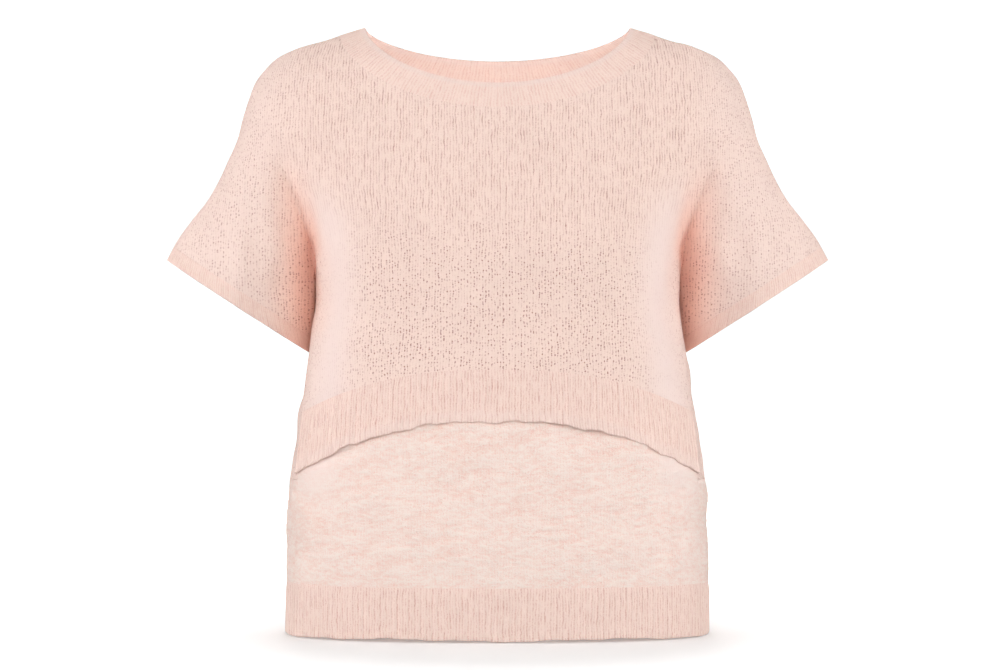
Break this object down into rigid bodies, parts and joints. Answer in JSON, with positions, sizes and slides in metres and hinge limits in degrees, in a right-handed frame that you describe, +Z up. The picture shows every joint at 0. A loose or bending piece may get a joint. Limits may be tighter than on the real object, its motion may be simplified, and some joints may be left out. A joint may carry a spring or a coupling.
{
  "type": "sweater",
  "caption": "Short-sleeved boat-neck knitted sweater, filled out and hollow, with a curved ribbed flap over a slub-knit lower front and a ribbed hem.",
  "frame": {"origin": "midway between the two neck points, where the neckband crosses the shoulder line", "axes": "+Z up, +X towards the wearer's left, +Y towards the wearer's back, so the front faces -Y"},
  "size_m": [0.638, 0.2276, 0.5805],
  "materials": {
    "smooth_knit": "matte, brushed",
    "slub_knit": "matte, slubbed",
    "rib_knit": "matte, ribbed"
  },
  "bodies": {
    "root": {"front_body": "smooth_knit", "back_body": "smooth_knit", "neckband": "rib_knit", "cuff_left": "rib_knit", "cuff_right": "rib_knit", "front_flap_rib": "rib_knit", "lower_front": "slub_knit", "lower_back": "slub_knit", "hem_rib_front": "rib_knit", "hem_rib_back": "rib_knit"}
  },
  "joints": []
}
